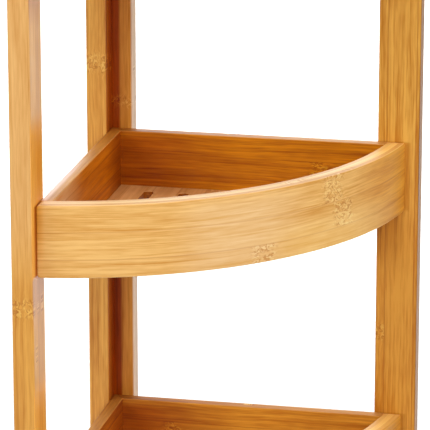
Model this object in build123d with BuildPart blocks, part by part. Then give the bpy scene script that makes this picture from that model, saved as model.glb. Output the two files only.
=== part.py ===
from build123d import *

import os
from math import ceil, hypot, sqrt

# Corner shower caddy in laminated bamboo: quarter-round trays screwed to three posts.
# Millimetres. +Z is up and z = 0 is the floor under the foot pads. X runs to the right along
# the back wall and Y runs towards it. The origin is the centre of the footprint, so the trays'
# outer back corner stands at (corner_x, corner_y), and the diagonal plane x + y = 0 splits
# the caddy into a side half and a back half that mirror each other.

# ---- trays --------------------------------------------------------------------------
tray_side = 216  # straight outer side
tray_height = 50.8
rail_thick = 8.5  # straight side and back rails
panel_thick = 12.7  # curved front panel
arc_setback = 30  # the front arc's centre lies this far outside both rails
floor_drop = 40.5  # rim down to the top of the floor panel
floor_thick = 6
tongue = 3  # the floor panel's rebated edge reaches this far into the grooves
tongue_thick = 4
floor_gap = 0.3  # between the top of the floor panel and the walls round it

# ---- posts and tiers ----------------------------------------------------------------
post_thick = 15
post_width = 30
post_length = 570
post_overhang = 10  # the left and right posts stand past the tray's ends
pad_thick = 3
tiers = ["bottom", "middle", "top"]
tier_pitch = 205
leg_height = 80  # post length below the lowest tray

# ---- drain slots, in rows parallel to the side rail ---------------------------------
slot_width = 7
slot_pitch = 26
first_slot = 33  # centre line of the first row from the side rail's outer face
back_margin = 13.5  # solid floor between the back rail and the slots
front_margin = 20  # solid floor between the slots and the front panel
slot_bridge = 16  # solid floor between two slots of one row
longest_slot = 85
shortest_slot = 20

# ---- screws and dowels --------------------------------------------------------------
shank_radius = 2
head_radius = 4
head_land = 0.3  # straight rim of the countersunk head
tip_length = 3
long_screw = 30  # post into the end grain of the front panel
short_screw = 22  # corner post into a rail
clearance_radius = 2.2  # hole through the post
recess_length = 4.4  # cross recess in the head
recess_width = 0.9
recess_depth = 1.4
recess_taper = 12
panel_screw_setback = 6.5  # screw axis from the tray's front corner
dowel_radius = 2.5
dowel_in_panel = 7
dowel_in_rail = 11
dowel_chamfer = 0.6
# Depths below the rim, chosen so that screws and dowels in one joint pass between each other.
panel_screw_drops = [16, 36.5]
side_screw_drops = [10, 30]
back_screw_drops = [20, 36]
dowel_drops = [8, 26.5]

# ---- eased edges --------------------------------------------------------------------
post_round = 0.8
rail_round = 0.8
panel_round = 1
panel_corner_round = 2.5
slot_round = 0.8
pad_inset = 1.5
pad_corner = 2
pad_round = 0.6

# ---- derived places -----------------------------------------------------------------
corner_y = (tray_side + post_overhang - post_thick) / 2
corner_x = -corner_y
outer_radius = hypot(tray_side + arc_setback, arc_setback)
inner_radius = outer_radius - panel_thick
floor_low = tray_height - floor_drop - floor_thick
tray_bases = {tier: pad_thick + leg_height + i * tier_pitch for i, tier in enumerate(tiers)}
front_setback = tray_side - panel_screw_setback
corner_setback = post_thick / 2
diagonal = Plane(origin=(0, 0, 0), z_dir=(1, 1, 0))
# Upright planes through the trays' outer back corner: x_dir runs along the rail, away from
# the corner, and z_dir points out at the wall.
side_wall = Plane(origin=(corner_x, corner_y, 0), x_dir=(0, -1, 0), z_dir=(-1, 0, 0))
back_wall = Plane(origin=(corner_x, corner_y, 0), x_dir=(1, 0, 0), z_dir=(0, 1, 0))

os.makedirs("parts", exist_ok=True)


def corner_plane(height):
    """Horizontal plane with its origin at the trays' outer back corner."""
    return Plane(origin=(corner_x, corner_y, height))


def front_reach(across, radius):
    """Distance forward from the corner to an arc of this radius, at a distance across."""
    return sqrt(radius**2 - (across + arc_setback) ** 2) - arc_setback


def wall_point(wall, along, out, height):
    """A point this far along the wall from the corner and this far out towards it."""
    return wall.origin + wall.x_dir * along + wall.z_dir * out + Vector(0, 0, height)


def screw_places(wall, setback, drops, bases):
    """Head centres of the screws driven through a post, for each tray."""
    return [
        Plane(
            origin=wall_point(wall, setback, post_thick, base + tray_height - drop),
            z_dir=wall.z_dir,
        ).location
        for base in bases
        for drop in drops
    ]


def dowel_places(wall, base):
    """Centres of the dowels that join the wall's rail to the front panel."""
    joint = front_reach(rail_thick / 2, inner_radius)
    middle = joint + (dowel_in_panel - dowel_in_rail) / 2
    return [
        Plane(
            origin=wall_point(wall, middle, -rail_thick / 2, base + tray_height - drop),
            z_dir=wall.x_dir,
        ).location
        for drop in dowel_drops
    ]


def finish(part, node):
    """Names a finished piece and writes its file."""
    part.label = node
    export_step(part, f"parts/{node}.step")


# ---- fasteners ----------------------------------------------------------------------
def revolved_form(*outline):
    """Solid of revolution about Z from points given as (radius, height)."""
    with BuildPart() as form:
        with BuildSketch(Plane.XZ):
            with BuildLine():
                Polyline(*outline, close=True)
            make_face()
        revolve(axis=Axis.Z)
    return form.part


def screw_form(length):
    """Countersunk cross-head wood screw: head face at z = 0, tip pointing down."""
    with BuildPart() as screw:
        add(
            revolved_form(
                (0, 0),
                (head_radius, 0),
                (head_radius, -head_land),
                (shank_radius, shank_radius - head_radius - head_land),
                (shank_radius, tip_length - length),
                (0, -length),
            )
        )
        with BuildSketch(Plane.XY):
            Rectangle(recess_length, recess_width)
            Rectangle(recess_width, recess_length)
        extrude(amount=-recess_depth, taper=recess_taper, mode=Mode.SUBTRACT)
    return screw.part


def pilot_form(length):
    """The hole that the screw's thread and tip fill in the wood beyond the post."""
    return revolved_form(
        (0, -post_thick),
        (shank_radius, -post_thick),
        (shank_radius, tip_length - length),
        (0, -length),
    )


def dowel_form():
    """Glued dowel with eased ends, centred on its own middle."""
    with BuildPart() as dowel:
        Cylinder(dowel_radius, dowel_in_panel + dowel_in_rail)
        chamfer(dowel.edges().filter_by(GeomType.CIRCLE), dowel_chamfer)
    return dowel.part


long_pilot = pilot_form(long_screw)
short_pilot = pilot_form(short_screw)
dowel_shape = dowel_form()


# ---- posts --------------------------------------------------------------------------
def drill_post(wall, setback, drops):
    """Countersunk clearance holes through a post, for the screws of every tray."""
    with Locations(*screw_places(wall, setback, drops, tray_bases.values())):
        CounterSinkHole(
            clearance_radius,
            head_radius + head_land,
            depth=post_thick,
            counter_sink_angle=90,
        )


with BuildPart() as left_post:
    with BuildSketch(corner_plane(pad_thick)):
        with Locations((0, -(tray_side + post_overhang))):
            Rectangle(post_thick, post_width, align=(Align.MAX, Align.MIN))
    extrude(amount=post_length)
    fillet(left_post.edges(), post_round)
    drill_post(side_wall, front_setback, panel_screw_drops)
finish(left_post.part, "left_post")

with BuildPart() as right_post:
    mirror(left_post.part, about=diagonal)
finish(right_post.part, "right_post")

# The corner post is an L: a full-width board with a square strip glued to its inner face.
with BuildPart() as corner_post_board:
    with BuildSketch(corner_plane(pad_thick)):
        Rectangle(post_thick, post_width, align=(Align.MAX, Align.CENTER))
    extrude(amount=post_length)
    uprights = corner_post_board.edges().filter_by(Axis.Z)
    glue_edge = uprights.group_by(Axis.Y)[-1].sort_by(Axis.X)[-1]
    fillet([edge for edge in uprights if edge != glue_edge], post_round)
    drill_post(side_wall, corner_setback, side_screw_drops)
finish(corner_post_board.part, "corner_post_board")

with BuildPart() as corner_post_strip:
    with BuildSketch(corner_plane(pad_thick)):
        Rectangle(post_thick, post_thick, align=(Align.MIN, Align.MIN))
    extrude(amount=post_length)
    fillet(corner_post_strip.edges().filter_by(Axis.Z).group_by(Axis.X)[-1], post_round)
    drill_post(back_wall, corner_setback, back_screw_drops)
finish(corner_post_strip.part, "corner_post_strip")


# ---- foot pads ----------------------------------------------------------------------
pad_depth = post_thick - 2 * pad_inset
pad_length = post_width - 2 * pad_inset

with BuildPart() as left_foot_pad:
    with BuildSketch(corner_plane(0)):
        with Locations((-post_thick / 2, post_width / 2 - tray_side - post_overhang)):
            RectangleRounded(pad_depth, pad_length, pad_corner)
    extrude(amount=pad_thick)
    fillet(left_foot_pad.faces().sort_by(Axis.Z)[0].edges(), pad_round)
finish(left_foot_pad.part, "left_foot_pad")

with BuildPart() as right_foot_pad:
    mirror(left_foot_pad.part, about=diagonal)
finish(right_foot_pad.part, "right_foot_pad")

with BuildPart() as corner_foot_pad:
    with BuildSketch(corner_plane(0)) as corner_pad_outline:
        with Locations((-post_thick / 2, 0)):
            Rectangle(pad_depth, pad_length)
        with Locations((0, post_thick / 2)):
            Rectangle(pad_length, pad_depth)
        fillet(corner_pad_outline.vertices(), pad_corner)
    extrude(amount=pad_thick)
    fillet(corner_foot_pad.faces().sort_by(Axis.Z)[0].edges(), pad_round)
finish(corner_foot_pad.part, "corner_foot_pad")


# ---- trays --------------------------------------------------------------------------
def floor_board(base, thick, reach):
    """Quarter-round board that reaches this far past the inner faces of the tray's walls."""
    inset = rail_thick - reach
    with BuildPart() as board:
        with BuildSketch(corner_plane(base + floor_low)):
            with Locations((-arc_setback, arc_setback)):
                Circle(inner_radius + reach)
            with Locations((inset, -inset)):
                Rectangle(
                    tray_side, tray_side, align=(Align.MIN, Align.MAX), mode=Mode.INTERSECT
                )
        extrude(amount=thick)
    return board.part


def groove_form(base):
    """The wood that the groove for the floor panel's tongues takes out of the walls."""
    return floor_board(base, tongue_thick, tongue)


def make_side_rail(base, drops):
    """Straight rail along the side wall, mitred at the corner and cut to the front arc."""
    with BuildPart() as rail:
        with BuildSketch(corner_plane(base)):
            with BuildLine():
                Polyline(
                    (0, 0),
                    (rail_thick, -rail_thick),
                    (rail_thick, -tray_side),
                    (0, -tray_side),
                    close=True,
                )
            make_face()
            with Locations((-arc_setback, arc_setback)):
                Circle(inner_radius, mode=Mode.INTERSECT)
        extrude(amount=tray_height)
        fillet(rail.edges().filter_by(Axis.Y), rail_round)
        add(groove_form(base), mode=Mode.SUBTRACT)
        with Locations(*screw_places(side_wall, corner_setback, drops, [base])):
            add(short_pilot, mode=Mode.SUBTRACT)
        with Locations(*dowel_places(side_wall, base)):
            add(dowel_shape, mode=Mode.SUBTRACT)
    return rail.part


def make_front_panel(base):
    """Bent laminated panel between two arcs, its ends flush with the rails' outer faces."""
    with BuildPart() as panel:
        with BuildSketch(corner_plane(base)):
            with Locations((-arc_setback, arc_setback)):
                Circle(outer_radius)
                Circle(inner_radius, mode=Mode.SUBTRACT)
            Rectangle(tray_side, tray_side, align=(Align.MIN, Align.MAX), mode=Mode.INTERSECT)
        extrude(amount=tray_height)
        end_edges = panel.edges().filter_by(Axis.X) + panel.edges().filter_by(Axis.Y)
        fillet(end_edges, panel_corner_round)
        outer_face = panel.faces().filter_by(GeomType.CYLINDER).sort_by(SortBy.AREA)[-1]
        fillet(outer_face.edges(), panel_round)
        inner_face = panel.faces().filter_by(GeomType.CYLINDER).sort_by(SortBy.AREA)[-2]
        fillet(inner_face.edges().filter_by(GeomType.CIRCLE), rail_round)
        add(groove_form(base), mode=Mode.SUBTRACT)
        for wall in (side_wall, back_wall):
            with Locations(*screw_places(wall, front_setback, panel_screw_drops, [base])):
                add(long_pilot, mode=Mode.SUBTRACT)
            with Locations(*dowel_places(wall, base)):
                add(dowel_shape, mode=Mode.SUBTRACT)
    return panel.part


def slot_rows():
    """Centre (across, forward) and length of every drain slot."""
    slots = []
    across = first_slot
    start = rail_thick + back_margin
    while across < inner_radius - front_margin - arc_setback:
        row = front_reach(across, inner_radius - front_margin) - start
        if row < shortest_slot:
            break
        count = ceil(row / longest_slot)
        length = (row - (count - 1) * slot_bridge) / count
        for i in range(count):
            slots.append((across, start + length / 2 + i * (length + slot_bridge), length))
        across += slot_pitch
    return slots


def make_floor_panel(base):
    """Thin drained floor whose rebated edges sit in the grooves of the rails and the panel."""
    with BuildPart() as floor:
        add(floor_board(base, tongue_thick, tongue))
        add(floor_board(base, floor_thick, -floor_gap))
        with BuildSketch(corner_plane(base + floor_low)):
            for across, forward, length in slot_rows():
                with Locations((across, -forward)):
                    SlotOverall(length, slot_width, rotation=90)
        extrude(amount=floor_thick, mode=Mode.SUBTRACT)
        top_face = floor.faces().sort_by(Axis.Z)[-1]
        fillet(top_face.inner_wires().edges(), slot_round)
    return floor.part


for tier, base in tray_bases.items():
    finish(make_side_rail(base, side_screw_drops), f"{tier}_side_rail")
    with BuildPart() as back_rail:
        mirror(make_side_rail(base, back_screw_drops), about=diagonal)
    finish(back_rail.part, f"{tier}_back_rail")
    finish(make_front_panel(base), f"{tier}_front_panel")
    finish(make_floor_panel(base), f"{tier}_floor_panel")
    with BuildPart() as panel_dowels:
        with Locations(*dowel_places(side_wall, base), *dowel_places(back_wall, base)):
            add(dowel_shape)
    finish(panel_dowels.part, f"{tier}_panel_dowels")


# ---- screws, one group of identical screws for each row of holes ---------------------
screw_rows = {
    "left_post_screws": (side_wall, front_setback, panel_screw_drops, long_screw),
    "right_post_screws": (back_wall, front_setback, panel_screw_drops, long_screw),
    "corner_board_screws": (side_wall, corner_setback, side_screw_drops, short_screw),
    "corner_strip_screws": (back_wall, corner_setback, back_screw_drops, short_screw),
}
for node, (wall, setback, drops, length) in screw_rows.items():
    with BuildPart() as screws:
        with Locations(*screw_places(wall, setback, drops, tray_bases.values())):
            add(screw_form(length))
    finish(screws.part, node)
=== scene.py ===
import math

import bpy
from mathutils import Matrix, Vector


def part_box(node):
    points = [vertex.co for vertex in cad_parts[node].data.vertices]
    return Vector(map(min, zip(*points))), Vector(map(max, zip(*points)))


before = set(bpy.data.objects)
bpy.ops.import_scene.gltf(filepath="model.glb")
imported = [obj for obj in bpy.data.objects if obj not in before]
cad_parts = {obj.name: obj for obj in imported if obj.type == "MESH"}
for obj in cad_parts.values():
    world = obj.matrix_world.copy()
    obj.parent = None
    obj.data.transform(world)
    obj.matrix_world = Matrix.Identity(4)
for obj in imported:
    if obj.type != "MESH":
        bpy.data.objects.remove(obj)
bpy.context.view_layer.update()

# Bamboo corner caddy: every CAD piece keeps its shape and gets a procedural material.
# Lengths are metres, but for names that end in _mm and the two sections on bamboo, which work
# in millimetres.
TIERS = ("bottom", "middle", "top")
MM = 1000

# ---- places read from the frame -----------------------------------------------------
side_low, side_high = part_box("middle_side_rail")
panel_low, panel_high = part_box("middle_front_panel")
back_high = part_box("middle_back_rail")[1]
tray_side = panel_high.x - panel_low.x
rail_mm = (side_high.x - side_low.x) * MM
corner = Vector((side_low.x, back_high.y, side_high.z))  # outer back corner of the middle rim
rim_mm = corner.z * MM
arc_setback = 0.030  # the front arcs' centre lies this far outside both rails
arc_centre = Vector((corner.x - arc_setback, corner.y + arc_setback, 0))
outer_radius = math.hypot(tray_side + arc_setback, arc_setback)
panel_mm = 12.7  # the front panels' thickness
floor_mm = 6  # the drain floors' thickness


# ---- camera -------------------------------------------------------------------------
SENSOR_MM = 36
LENS_MM = 283.8
CAMERA_FROM_CORNER = Vector((0.5678, -2.3241, 0.6115))
CAMERA_DOWN = math.radians(15.83)
CAMERA_LEFT = math.radians(11.93)


def make_camera():
    """Long lens from the front right, looking a little down at the middle tray."""
    data = bpy.data.cameras.new("camera")
    data.sensor_width = SENSOR_MM
    data.lens = LENS_MM
    camera = bpy.data.objects.new("camera", data)
    camera.location = corner + CAMERA_FROM_CORNER
    camera.rotation_euler = (math.radians(90) - CAMERA_DOWN, 0, CAMERA_LEFT)
    bpy.context.scene.collection.objects.link(camera)
    bpy.context.scene.camera = camera


make_camera()


# ---- shader building ----------------------------------------------------------------
class Shader:
    """A material with a Principled shader, and short calls that add nodes to it."""

    def __init__(self, name):
        self.material = bpy.data.materials.new(name)
        self.material.use_nodes = True
        self.tree = self.material.node_tree
        self.tree.nodes.clear()
        self.surface = self.tree.nodes.new("ShaderNodeBsdfPrincipled")
        output = self.tree.nodes.new("ShaderNodeOutputMaterial")
        self.link(self.surface.outputs["BSDF"], output.inputs["Surface"])
        coordinates = self.tree.nodes.new("ShaderNodeTexCoord")
        # the point's X, Y and Z in the row frame, in millimetres, and how far it faces up or down
        self.place = [self.mul(axis, MM) for axis in self.split(coordinates.outputs["Object"])]
        self.level = self.math("ABSOLUTE", self.split(coordinates.outputs["Normal"])[2])

    def link(self, source, target):
        self.tree.links.new(source, target)

    def put(self, socket, value):
        """Links value if it is a socket, and sets it if it is a number or colour."""
        if isinstance(value, bpy.types.NodeSocket):
            self.link(value, socket)
        else:
            socket.default_value = value

    def math(self, operation, *values):
        node = self.tree.nodes.new("ShaderNodeMath")
        node.operation = operation
        for socket, value in zip(node.inputs, values):
            self.put(socket, value)
        return node.outputs[0]

    def add(self, first, second):
        return self.math("ADD", first, second)

    def sub(self, first, second):
        return self.math("SUBTRACT", first, second)

    def mul(self, first, second):
        return self.math("MULTIPLY", first, second)

    def div(self, first, second):
        return self.math("DIVIDE", first, second)

    def swing(self, value, amount, base):
        """base, plus amount for each unit that a value centred on 0.5 is above it."""
        return self.math("MULTIPLY_ADD", self.sub(value, 0.5), amount, base)

    def span(self, value, low, high, to_low=0.0, to_high=1.0):
        """value from low..high, smoothed into to_low..to_high."""
        node = self.tree.nodes.new("ShaderNodeMapRange")
        node.interpolation_type = "SMOOTHSTEP"
        for key, item in zip(("Value", "From Min", "From Max", "To Min", "To Max"),
                             (value, low, high, to_low, to_high)):
            self.put(node.inputs[key], item)
        return node.outputs[0]

    def near_edge(self, value, width):
        """Distance in mm from value, counted in cells of this width, to the nearest cell edge."""
        part = self.math("FRACT", value)
        return self.mul(self.math("MINIMUM", part, self.sub(1, part)), width)

    def vector(self, x, y, z):
        node = self.tree.nodes.new("ShaderNodeCombineXYZ")
        for socket, value in zip(node.inputs, (x, y, z)):
            self.put(socket, value)
        return node.outputs[0]

    def split(self, vector):
        node = self.tree.nodes.new("ShaderNodeSeparateXYZ")
        self.link(vector, node.inputs[0])
        return node.outputs

    def noise(self, x, y, z, detail=2.0, roughness=0.5, distortion=0.0):
        """Noise of unit scale at (x, y, z), about 0.5."""
        node = self.tree.nodes.new("ShaderNodeTexNoise")
        self.link(self.vector(x, y, z), node.inputs["Vector"])
        node.inputs["Scale"].default_value = 1.0
        node.inputs["Detail"].default_value = detail
        node.inputs["Roughness"].default_value = roughness
        node.inputs["Distortion"].default_value = distortion
        return node.outputs[0]

    def dice(self, x, y, z):
        """Three random numbers for a cell."""
        node = self.tree.nodes.new("ShaderNodeTexWhiteNoise")
        node.noise_dimensions = "3D"
        self.link(self.vector(x, y, z), node.inputs["Vector"])
        return self.split(node.outputs["Color"])

    def mix(self, share, first, second):
        """Colour that is first at a share of 0 or less, and second at 1 or more."""
        node = self.tree.nodes.new("ShaderNodeMix")
        node.data_type = "RGBA"
        self.put(node.inputs["Factor"], share)
        self.put(node.inputs[6], first)
        self.put(node.inputs[7], second)
        return node.outputs[2]

    def bump(self, height, distance, strength):
        """Raises the surface by height times distance in metres."""
        node = self.tree.nodes.new("ShaderNodeBump")
        node.inputs["Strength"].default_value = strength
        node.inputs["Distance"].default_value = distance
        self.link(height, node.inputs["Height"])
        self.link(node.outputs[0], self.surface.inputs["Normal"])


def linear(red, green, blue):
    """A colour given as 0-255 display values, in the shader's linear values."""
    parts = [value / 255 for value in (red, green, blue)]
    return (*[p / 12.92 if p <= 0.04045 else ((p + 0.055) / 1.055) ** 2.4 for p in parts], 1.0)


# ---- bamboo -------------------------------------------------------------------------
class Tone:
    """The colours of one kind of bamboo: its light and dark fibres, the darker stain of its glue
    lines and dark flecks, and the cream of its pale flecks."""
    STAIN = (0.80, 0.60, 0.22)  # what is left of the dark fibres' red, green and blue
    CREAM = (0.45, 0.65, 0.85)  # what is left of the light fibres' distance from white

    def __init__(self, light, dark):
        self.light = linear(*light)
        self.dark = linear(*dark)
        self.stain = linear(*[c * k for c, k in zip(dark, self.STAIN)])
        self.cream = linear(*[255 - (255 - c) * k for c, k in zip(light, self.CREAM)])


# the posts' tones, and those that take over part of them as painted light and shade
PALE_POST = Tone((242, 190, 116), (208, 144, 64))
# painted warm reflection of the trays on the left post's inner side
TRAY_REFLECTION_POST = Tone((255, 186, 80), (224, 140, 30))
# painted shade: the left post darker from the middle rim down
LOW_SHADE_LEFT_POST = Tone((232, 170, 72), (198, 126, 32))
WARM_POST = Tone((246, 189, 84), (196, 126, 32))
CORNER_POST = Tone((247, 189, 87), (197, 127, 34))
DARK_POST = Tone((230, 163, 68), (186, 111, 28))
# painted shadow in the inner corner between the corner board and the corner strip
SHADED_POST = Tone((174, 74, 0), (124, 44, 0))
# painted shade on the corner board's inner side
CORNER_SHADE_POST = Tone((196, 112, 22), (160, 82, 8))
# painted shade: the right post darker below the middle rim
LOW_SHADE_RIGHT_POST = Tone((236, 170, 66), (190, 112, 20))
# painted shade on the right post's outer side
SHADED_SIDE_POST = Tone((178, 112, 0), (134, 78, 0))
# painted shade in the seam between the left post and each front panel
SEAM_SHADE_SIDE = Tone((186, 96, 10), (146, 68, 2))
# painted shadow of each front panel's end on the right post
SEAM_SHADOW_FRONT = Tone((216, 148, 48), (172, 104, 16))
# painted shade on the left post's inner side just below each tray
UNDER_TRAY_SHADE = Tone((214, 158, 108), (176, 122, 76))
# painted shadow on the right post below each front panel's end
PANEL_SHADOW_POST = Tone((200, 132, 36), (148, 84, 4))
# painted pale reflection on the corner strip's outer side
REFLECTION_POST = Tone((232, 198, 156), (194, 152, 114))
# the rails' tones, and the painted shade, light and highlights that take over part of them
RAIL = Tone((238, 178, 96), (204, 132, 48))
# painted shade on the rails' level edges
SHADED_RAIL_TOP = Tone((212, 156, 78), (180, 114, 38))
# painted shade on the rails' level edges near the corner
CORNER_SHADE_RAIL_TOP = Tone((176, 110, 34), (138, 76, 8))
# painted pale highlight along the outside of the side rails' level edges
HIGHLIGHT_RAIL_TOP = Tone((244, 214, 196), (220, 182, 160))
# painted shade, deep orange, on the inner faces of the back rails and front panels
SHADED_INNER_FACE = Tone((230, 150, 14), (174, 98, 6))
# the same painted shade on the side rails' inner faces
SHADED_INNER_SIDE = Tone((240, 148, 10), (190, 98, 0))
# painted light on the side rails' inner faces towards the front
LIT_FRONT_SIDE = Tone((255, 214, 150), (250, 180, 104))
# painted shade on the bottom tray's side rail's inner face
SHADED_LOW_SIDE = Tone((214, 122, 2), (160, 78, 0))
# painted shade in each tray's back corner
CORNER_SHADE_RAIL = Tone((184, 96, 0), (138, 58, 0))
# painted shade, saturated orange, on the bottom tray's back rail's inner face
SHADED_LOW_INNER = Tone((248, 182, 58), (200, 124, 26))
# the front panels and their level edges, with their painted highlights, light and shade
PANEL = Tone((249, 200, 120), (214, 149, 57))
# painted highlight in the front panels' middle
HIGHLIGHT_PANEL = Tone((249, 209, 150), (230, 176, 98))
# painted shade at the front panels' ends
END_SHADE_PANEL = Tone((236, 168, 60), (198, 124, 28))
# painted light low on the front panels' right half
LIT_PANEL = Tone((255, 214, 138), (238, 184, 96))
# painted highlight on the front panels' level edges, fading out towards the right end
EDGE_HIGHLIGHT = Tone((255, 226, 170), (240, 194, 124))
# painted light on the front panels' level edges, on the bottom panel a little less
LIT_EDGE = Tone((255, 216, 128), (248, 190, 98))
LOW_LIT_EDGE = Tone((250, 206, 118), (236, 176, 86))
# the floors, and the painted shade inside their slots
FLOOR = Tone((226, 170, 106), (200, 140, 74))
# painted shade on the floors' upright faces, inside the slots
SLOT_SHADE = Tone((176, 96, 14), (128, 62, 4))

STRIP_MM = 21
TRAY_STRIP_MM = 19
PLY_MM = 5.1
PLY_SLACK_MM = 0.1  # the plies begin this far outside a face, so that no face lies on a glue line
STAGGER = 0.43  # how far every other ply's strips are moved over, in strips
KNUCKLE_PERIOD_MM = 420
KNUCKLE_RAGGED_MM = 14
DARK_FLECK, PALE_FLECK = 0.42, 0.57  # the levels of the curl noise where flecks are drawn
MEAN_SHADE = 0.60  # the light fibres' usual share of the colour


def grain_axes(s, grain):
    """Distance along the grain, across the strips and through the plies, in millimetres."""
    x, y, z = s.place
    if grain != "arc":
        axes = {"X": x, "Y": y, "Z": z}
        return [axes[letter] for letter in grain]
    east = s.sub(x, arc_centre.x * MM)
    south = s.sub(arc_centre.y * MM, y)
    turn = s.math("ARCTAN2", east, south)
    radius = s.math("SQRT", s.add(s.mul(east, east), s.mul(south, south)))
    return s.mul(turn, outer_radius * MM), z, radius


class Board(Shader):
    """A shader for laminated bamboo, which knows its strips and plies. Each strip of a ply is a
    lane, with fibres of its own."""

    def __init__(self, name, grain, start, strip_mm, ply_mm):
        super().__init__(name)
        self.along, across, self.layer = grain_axes(self, grain)
        self.through = self.sub(self.layer, start[1] - PLY_SLACK_MM)
        self.plies = self.div(self.through, ply_mm)
        self.ply = self.math("FLOOR", self.plies)
        every_other = self.math("MODULO", self.math("ABSOLUTE", self.ply), 2)
        stagger = self.mul(every_other, STAGGER * strip_mm)
        self.across = self.add(self.sub(across, start[0]), stagger)
        self.strips = self.div(self.across, strip_mm)
        self.strip = self.math("FLOOR", self.strips)
        self.lane = self.add(self.mul(self.strip, 31.7), self.mul(self.ply, 17.3))

    def fibres(self, row, length, width, lane_offset=0, detail=1, roughness=0.5):
        """Noise drawn out along the grain, with fibres of this length and width; row is the place
        across the strips."""
        depth = self.add(self.div(self.through, width), self.add(self.lane, lane_offset))
        return self.noise(self.div(self.along, length), self.div(row, width), depth,
                          detail, roughness)


def blended_colours(s, tone, blends):
    """The tone's colours, with each blend's tone taking over where all its ranges hold."""
    fields = dict(zip("XYZ", s.place), along=s.along, through=s.layer, level=s.level)
    colours = vars(tone)
    for other, ranges in blends:
        share = 1.0
        for field, begin, end in ranges:
            share = s.mul(share, s.span(fields[field], begin, end))
        colours = {key: s.mix(share, colours[key], value) for key, value in vars(other).items()}
    return colours


def knuckle_parts(s, shift, knuckles, knuckle_mm, seed):
    """The knuckles are ragged bands where the fibres break into short curls. Gives the skirt of
    each band, where the fibres bend, and its dark and its pale flecks."""
    place = s.mul(shift, KNUCKLE_PERIOD_MM)
    for number, mark in dict(knuckles).items():
        here = s.math("COMPARE", s.strip, number, 0.1)
        place = s.add(s.mul(place, s.sub(1, here)), s.mul(here, mark))
    half_period = KNUCKLE_PERIOD_MM / 2
    offset = s.math("WRAP", s.sub(s.along, place), half_period, -half_period)
    ragged = s.noise(s.div(s.across, 3.5), s.ply, s.add(s.lane, seed), 2)
    distance = s.math("ABSOLUTE", s.swing(ragged, KNUCKLE_RAGGED_MM, offset))
    half_mm = knuckle_mm / 2
    skirt = s.span(distance, half_mm - 1, half_mm + 10, 1.0, 0.0)
    band = s.span(distance, half_mm - 2, half_mm + 3, 1.0, 0.0)
    patch = s.noise(s.div(s.along, 4.0), s.div(s.across, 3.0), s.add(s.lane, seed + 3), 1)
    band = s.mul(band, s.span(patch, 0.30, 0.50))
    curl = s.noise(s.div(s.along, 4.0), s.div(s.across, 2.7), s.add(s.lane, seed + 7), 1, 0.4, 1.1)
    flecks = []
    for ridge in (DARK_FLECK, PALE_FLECK):
        from_ridge = s.math("ABSOLUTE", s.sub(curl, ridge))
        flecks.append(s.mul(s.span(from_ridge, 0.02, 0.08, 1.0, 0.0), band))
    return skirt, *flecks


def glue_lines(s, strip_mm, ply_mm, strength):
    """The glue lines between strips and, fainter, between plies. Each strip has a strength of
    its own for them, from 0 to 1."""
    between_strips = s.span(s.near_edge(s.strips, strip_mm), 0.2, 1.0, 1.0, 0.0)
    between_plies = s.span(s.near_edge(s.plies, ply_mm), 0.05, 0.30, 0.4, 0.0)
    glue = s.math("MAXIMUM", between_strips, between_plies)
    return s.mul(glue, s.span(strength, 0.0, 1.0, 0.5, 1.0))


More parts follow.
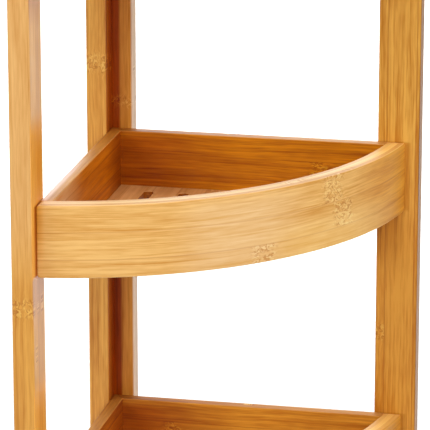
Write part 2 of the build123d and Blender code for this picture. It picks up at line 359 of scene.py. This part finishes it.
def bamboo(name, grain, start, tone, blends=(), strip_mm=STRIP_MM, ply_mm=PLY_MM, seed=0,
           knuckles=(), knuckle_mm=11, end_grain=False, roughness=0.36, specular=0.5, streaks=1.0):
    """Laminated bamboo. Strips lie side by side across the grain in glued plies, each with its
    own tone, its own fibres and now and then a knuckle of curly flecks.
    grain names the axes along, across and through, or is "arc" for the front panels' curve;
    start is where the strips and plies begin; blends lists tones that take over part of the
    board, each with the ranges that bound it; knuckles places the knuckles of numbered strips,
    in mm along the grain; streaks is how strongly the fibres show."""
    s = Board(name, grain, start, strip_mm, ply_mm)
    colours = blended_colours(s, tone, blends)
    lightness, shift, strength = s.dice(s.strip, s.ply, seed + 0.5)
    skirt, dark_fleck, pale_fleck = knuckle_parts(s, shift, knuckles, knuckle_mm, seed)
    glue = glue_lines(s, strip_mm, ply_mm, strength)

    # fibres, which wander a little and bend round the knuckles
    drift = s.noise(s.div(s.along, 90), s.lane, seed, 1)
    bend = s.noise(s.div(s.along, 5.0), s.div(s.across, 4.0), s.add(s.lane, seed), 1)
    row = s.add(s.swing(drift, 3.5, s.across), s.mul(s.swing(bend, 5.0, 0), skirt))
    broad = s.fibres(row, 170, 5.5)
    blotch = s.fibres(row, 42, 7, 120, 2)
    medium = s.fibres(row, 80, 1.1, 0, 2, 0.6)
    fine = s.fibres(row, 14, 0.42, 0, 2, 0.6)
    short = s.fibres(row, 16, 1.3, 80)
    veins = s.fibres(row, 130, 2.3, 40)
    dark_vein = s.span(veins, 0.58, 0.72)
    pale_vein = s.span(veins, 0.42, 0.30)
    dashes = s.span(fine, 0.56, 0.70)

    shade = MEAN_SHADE
    for layer, amount in ((broad, 0.9), (blotch, 0.8), (medium, 1.1), (short, 0.9)):
        shade = s.swing(layer, amount * streaks, shade)
    shade = s.swing(lightness, 0.35, shade)
    for layer, amount in ((dark_vein, -0.45), (pale_vein, 0.30), (dashes, -0.20)):
        shade = s.math("MULTIPLY_ADD", layer, amount * streaks, shade)
    colour = s.mix(shade, colours["dark"], colours["light"])
    colour = s.mix(s.mul(dark_fleck, 0.52), colour, colours["stain"])
    colour = s.mix(s.mul(pale_fleck, 0.65), colour, colours["cream"])
    colour = s.mix(s.mul(glue, 0.5), colour, colours["stain"])
    if end_grain:
        bundles = s.noise(s.div(s.across, 0.55), s.div(s.through, 0.55), s.lane, 1)
        cut = s.mix(s.span(bundles, 0.45, 0.60), colours["dark"], colours["stain"])
        colour = s.mix(s.mul(s.span(s.level, 0.6, 0.9), 0.8), colour, cut)
    s.put(s.surface.inputs["Base Color"], colour)

    # satin lacquer, a little rougher on the light fibres, sunk over dashes, glue and dark flecks
    s.put(s.surface.inputs["Roughness"], s.swing(medium, 0.25, roughness))
    s.surface.inputs["Specular IOR Level"].default_value = specular
    height = s.math("MULTIPLY_ADD", medium, 0.5, s.mul(dashes, -0.35))
    height = s.math("MULTIPLY_ADD", glue, -0.6, height)
    height = s.math("MULTIPLY_ADD", dark_fleck, -0.2, height)
    s.bump(height, 0.00012, 0.6)
    return s.material


def steel(name):
    """Satin stainless steel with a fine uneven grain."""
    s = Shader(name)
    grain = s.noise(*[s.mul(axis, 3.0) for axis in s.place], 3)
    colour = s.mix(grain, linear(150, 149, 146), linear(206, 205, 202))
    s.put(s.surface.inputs["Base Color"], colour)
    s.put(s.surface.inputs["Roughness"], s.span(grain, 0.3, 0.7, 0.24, 0.42))
    s.surface.inputs["Metallic"].default_value = 1.0
    s.bump(grain, 0.00003, 0.4)
    return s.material


def rubber(name):
    """Matt moulded rubber with a fine pebbled skin."""
    s = Shader(name)
    pebble = s.noise(*[s.mul(axis, 1.6) for axis in s.place], 2)
    s.put(s.surface.inputs["Base Color"], s.mix(pebble, linear(26, 24, 22), linear(50, 47, 43)))
    s.put(s.surface.inputs["Roughness"], s.span(pebble, 0.3, 0.7, 0.62, 0.85))
    s.bump(pebble, 0.00010, 0.7)
    return s.material


def paint(node, material):
    """Gives a CAD node its material, in every slot."""
    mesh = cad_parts[node].data
    mesh.materials.clear()
    mesh.materials.append(material)


def low_mm(node):
    """The lowest X, Y and Z of a node, in millimetres."""
    return [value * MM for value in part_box(node)[0]]


# ---- bamboo pieces ------------------------------------------------------------------
# A range is a field, the value where a tone begins to show, and the value where it is full.
UPRIGHT = ("level", 0.8, 0.3)
LEVEL = ("level", 0.5, 0.9)
corner_x, corner_y = corner.x * MM, corner.y * MM
end_x, front_y = corner_x + tray_side * MM, corner_y - tray_side * MM
tray_mm = round((side_high.z - side_low.z) * MM)


def high_x_face(node):
    """The range that bounds a tone to a node's face towards high X."""
    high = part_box(node)[1].x * MM
    return ("X", high - 1, high)


# How far over each tray's rim the left post's inner side carries the painted reflection of the
# tray.
TRAY_REFLECTION_REACH = {"bottom": 78, "middle": 57, "top": 40}


def front_post_light_and_shade():
    """The painted light and shade of the left and the right post that follow the trays. The left
    post's inner side has a painted warm reflection beside a tray and just above it, and painted
    shade just below. The right post has a painted shadow just below the front panel's end. Both
    have painted shade in the seam beside the front panel."""
    left, right = [], []
    left_face = high_x_face("left_post")
    right_face = ("Y", corner_y + 1, corner_y)
    for tier, reach in TRAY_REFLECTION_REACH.items():
        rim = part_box(f"{tier}_side_rail")[1].z * MM
        under = rim - tray_mm
        beside = [("Z", rim + 1, rim - 1), ("Z", under - 1, under + 2)]
        left += [(TRAY_REFLECTION_POST, [left_face, ("Z", rim + reach + 8, rim + reach - 8),
                                 ("Z", under - 39, under + 6)]),
                 (UNDER_TRAY_SHADE, [left_face, ("Z", under - 39, under - 9), ("Z", under + 4, under)]),
                 (SEAM_SHADE_SIDE, [left_face, ("Y", front_y - 7, front_y - 2), *beside])]
        right += [(PANEL_SHADOW_POST, [right_face, ("X", end_x + 6, end_x - 8),
                                   ("Z", under - 64, under - 9), ("Z", under + 9, under - 1)]),
                  (SEAM_SHADOW_FRONT, [right_face, ("X", end_x + 5, end_x + 2), *beside])]
    return left, right


left_light_and_shade, right_light_and_shade = front_post_light_and_shade()
# For each post: where its first strip starts from its low X, its knuckles as heights over the
# middle rim, and the settings of its bamboo.
POSTS = {
    "left_post": (-3, {0: -70}, dict(
        tone=PALE_POST, blends=[(LOW_SHADE_LEFT_POST, [("Z", rim_mm + 10, rim_mm - 70)]), *left_light_and_shade],
        streaks=0.8)),
    "right_post": (6.5 - STRIP_MM, {0: -143, 1: 130, 2: 130}, dict(
        tone=WARM_POST, blends=[(LOW_SHADE_RIGHT_POST, [("Z", rim_mm - 20, rim_mm - 70)]),
                                (SHADED_SIDE_POST, [UPRIGHT, high_x_face("right_post")]),
                                *right_light_and_shade],
        streaks=1.1, specular=0.25)),
    "corner_post_board": (-3, {0: 51}, dict(
        tone=CORNER_POST, blends=[(CORNER_SHADE_POST, [UPRIGHT, high_x_face("corner_post_board")]),
                                  (SHADED_POST, [UPRIGHT, high_x_face("corner_post_board"),
                                                 ("Y", corner_y - 12, corner_y - 3)])],
        streaks=0.9)),
    "corner_post_strip": (-3, {0: 20}, dict(
        tone=DARK_POST, blends=[(REFLECTION_POST, [UPRIGHT, high_x_face("corner_post_strip")]),
                                (SHADED_POST, [UPRIGHT, ("X", corner_x + 7.5, corner_x + 5),
                                               ("Y", corner_y + 1, corner_y)])],
        streaks=0.9, knuckle_mm=5, specular=0.25)),
}


def paint_posts():
    """The grain runs up the posts, the strips lie side by side along X."""
    for seed, (node, (first, heights, settings)) in enumerate(POSTS.items(), 11):
        low_x, low_y = low_mm(node)[:2]
        marks = {strip: rim_mm + height for strip, height in heights.items()}
        paint(node, bamboo(f"{node}_bamboo", "ZXY", (low_x + first, low_y), seed=seed,
                           knuckles=marks, end_grain=True, **settings))


# Knuckles of the trays' strips, which are counted from the lowest: how far along the front arc
# they are, or along the rail from the corner.
NO_KNUCKLE = -100  # a place off the rail
PANEL_KNUCKLES = {"middle": {0: 191, 1: 263, 2: 253}}
BACK_KNUCKLES = {"middle": {0: NO_KNUCKLE, 1: 157, 2: NO_KNUCKLE},
                 "bottom": {0: NO_KNUCKLE, 1: 46, 2: NO_KNUCKLE}}
SIDE_KNUCKLES = {"middle": dict.fromkeys(range(4), NO_KNUCKLE)}


def paint_panel(tier, seed):
    """The front panel has a painted highlight in its middle, painted light low on its right half,
    painted shade at its ends and inner face, and a painted highlight on its level edge.
    """
    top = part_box(f"{tier}_front_panel")[1].z * MM
    inner_mm = outer_radius * MM - panel_mm
    lit_edge_tone, highlight_fade = LIT_EDGE, (338, 278)
    if tier == "bottom":
        lit_edge_tone, highlight_fade = LOW_LIT_EDGE, (310, 255)
    blends = [
        (HIGHLIGHT_PANEL, [("along", 115, 155), ("along", 240, 190), ("Z", top + 2, top - 12)]),
        (END_SHADE_PANEL, [("along", 262, 320)]),
        (END_SHADE_PANEL, [("along", 37, 31), ("Z", top - 50, top - 10)]),
        (LIT_PANEL, [("along", 180, 232), ("along", 350, 266), ("Z", top - 22, top - 42)]),
        (SHADED_INNER_FACE, [UPRIGHT, ("through", inner_mm + 3, inner_mm + 0.5)]),
        (lit_edge_tone, [LEVEL]),
        (EDGE_HIGHLIGHT, [LEVEL, ("along", *highlight_fade)])]
    paint(f"{tier}_front_panel",
          bamboo(f"{tier}_panel_bamboo", "arc", (top - 3 * TRAY_STRIP_MM, inner_mm), PANEL, blends,
                 TRAY_STRIP_MM, panel_mm / 3 + PLY_SLACK_MM, seed, PANEL_KNUCKLES.get(tier, {}),
                 knuckle_mm=18, roughness=0.46, specular=0.35))


def paint_rails(tier, seed):
    """The rails' inner faces carry painted shade, deep orange and darkest at the corner, and the
    side rail's carries painted light towards the front. Their level edges carry painted shade,
    darker at the corner, and the side rail's a painted highlight along its outside."""
    # the tones of painted shade on the inner faces
    inner, side_shade, roughness = SHADED_INNER_FACE, SHADED_INNER_SIDE, 0.42
    if tier == "bottom":
        inner, side_shade, roughness = SHADED_LOW_INNER, SHADED_LOW_SIDE, 0.6
    settings = dict(strip_mm=TRAY_STRIP_MM, ply_mm=rail_mm / 2 + PLY_SLACK_MM,
                    roughness=roughness, specular=0.3)

    low_x, _, low_z = low_mm(f"{tier}_side_rail")
    face = [UPRIGHT, ("X", low_x + 4, low_x + rail_mm - 0.5)]
    blends = [
        (side_shade, face),
        (LIT_FRONT_SIDE, face + [("Y", corner_y - 115, corner_y - 180)]),
        (CORNER_SHADE_RAIL, face + [("Y", corner_y - 60, corner_y - 10)]),
        (SHADED_RAIL_TOP, [LEVEL]),
        (CORNER_SHADE_RAIL_TOP, [LEVEL, ("Y", corner_y - 130, corner_y - 10)]),
        (HIGHLIGHT_RAIL_TOP, [LEVEL, ("X", low_x + 5.5, low_x + 2), ("Y", corner_y - 80, corner_y - 140)])]
    marks = {strip: corner_y - reach for strip, reach in SIDE_KNUCKLES.get(tier, {}).items()}
    paint(f"{tier}_side_rail",
          bamboo(f"{tier}_side_bamboo", "YZX", (low_z - 7, low_x), RAIL, blends, seed=seed + 3,
                 knuckles=marks, **settings))

    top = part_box(f"{tier}_back_rail")[1].z * MM
    _, low_y, low_z = low_mm(f"{tier}_back_rail")
    face = [UPRIGHT, ("Y", low_y + 4, low_y + 0.5)]
    blends = [
        (inner, face),
        (CORNER_SHADE_RAIL, face + [("X", corner_x + 120, corner_x + 20), ("Z", top + 6, top - 8)]),
        (SHADED_RAIL_TOP, [LEVEL]),
        (CORNER_SHADE_RAIL_TOP, [LEVEL, ("X", corner_x + 170, corner_x + 30)])]
    marks = {strip: corner_x + reach for strip, reach in BACK_KNUCKLES.get(tier, {}).items()}
    paint(f"{tier}_back_rail",
          bamboo(f"{tier}_back_bamboo", "XZY", (low_z - 3, low_y), RAIL, blends, seed=seed + 5,
                 knuckles=marks, **settings))


def paint_tray(tier, seed):
    """Gives the bamboo pieces of a tray their materials. The floor's slots carry painted shade."""
    paint_panel(tier, seed)
    paint_rails(tier, seed)
    low_x, _, low_z = low_mm(f"{tier}_floor_panel")
    paint(f"{tier}_floor_panel",
          bamboo(f"{tier}_floor_bamboo", "YXZ", (low_x, low_z), FLOOR, [(SLOT_SHADE, [UPRIGHT])],
                 TRAY_STRIP_MM, floor_mm / 2 + PLY_SLACK_MM, seed + 8, roughness=0.45,
                 specular=0.3))
    paint(f"{tier}_panel_dowels",
          bamboo(f"{tier}_dowel_bamboo", "XZY", (0, 0), FLOOR, seed=seed + 9, roughness=0.5))


paint_posts()
for index, tier_name in enumerate(TIERS):
    paint_tray(tier_name, 20 + 10 * index)

screw_material = steel("screw_steel")
for screw_node in ("left_post_screws", "right_post_screws", "corner_board_screws",
                   "corner_strip_screws"):
    paint(screw_node, screw_material)
pad_material = rubber("foot_rubber")
for pad_node in ("left_foot_pad", "right_foot_pad", "corner_foot_pad"):
    paint(pad_node, pad_material)


# ---- studio -------------------------------------------------------------------------
def make_floor():
    """Plain pale floor under the foot pads."""
    half = 12  # of its width
    mesh = bpy.data.meshes.new("studio_floor")
    mesh.from_pydata([(-half, -half, 0), (half, -half, 0), (half, half, 0), (-half, half, 0)],
                     [], [(0, 1, 2, 3)])
    floor = bpy.data.objects.new("studio_floor", mesh)
    bpy.context.scene.collection.objects.link(floor)
    s = Shader("studio_floor")
    cloud = s.noise(s.div(s.place[0], 900), s.div(s.place[1], 900), 0.0, 2)
    colour = s.mix(cloud, linear(204, 204, 204), linear(212, 212, 212))
    s.put(s.surface.inputs["Base Color"], colour)
    s.surface.inputs["Roughness"].default_value = 0.9
    s.surface.inputs["Specular IOR Level"].default_value = 0.1
    mesh.materials.append(s.material)


def area_light(name, place, aim, size, power, spread=180):
    """Rectangular light, size wide and high, that shines within a cone of spread degrees."""
    data = bpy.data.lights.new(name, "AREA")
    data.shape = "RECTANGLE"
    data.size, data.size_y = size
    data.energy = power
    data.spread = math.radians(spread)
    light = bpy.data.objects.new(name, data)
    light.location = place
    light.rotation_euler = (Vector(aim) - Vector(place)).to_track_quat("-Z", "Y").to_euler()
    bpy.context.scene.collection.objects.link(light)


def make_light():
    """White surroundings, lights round the front and above, a large one far behind the object
    that its level edges mirror, and one over the floor behind it."""
    world = bpy.data.worlds.new("studio")
    world.use_nodes = True
    background = world.node_tree.nodes["Background"]
    background.inputs["Color"].default_value = (1.0, 1.0, 1.0, 1.0)
    background.inputs["Strength"].default_value = 0.38
    bpy.context.scene.world = world
    middle = (0, 0, 0.3)  # of the object
    area_light("key", (0.88, -1.53, 1.24), middle, (0.8, 0.8), 14.5)
    area_light("left", (-1.35, -1.14, 1.24), middle, (0.8, 0.8), 11)
    area_light("sheen", (1.83, -0.81, 0.35), middle, (0.6, 0.6), 5)
    area_light("top", (0, -0.1, 2.2), middle, (1, 1), 21)
    area_light("rim", (-0.85, 4.0, 1.5), middle, (2.4, 2.4), 32)
    area_light("backdrop", (-0.4, 1.6, 1.5), (-0.4, 1.6, 0), (1.1, 2.2), 26, 90)
    bpy.context.scene.view_settings.view_transform = "Standard"


make_floor()
make_light()
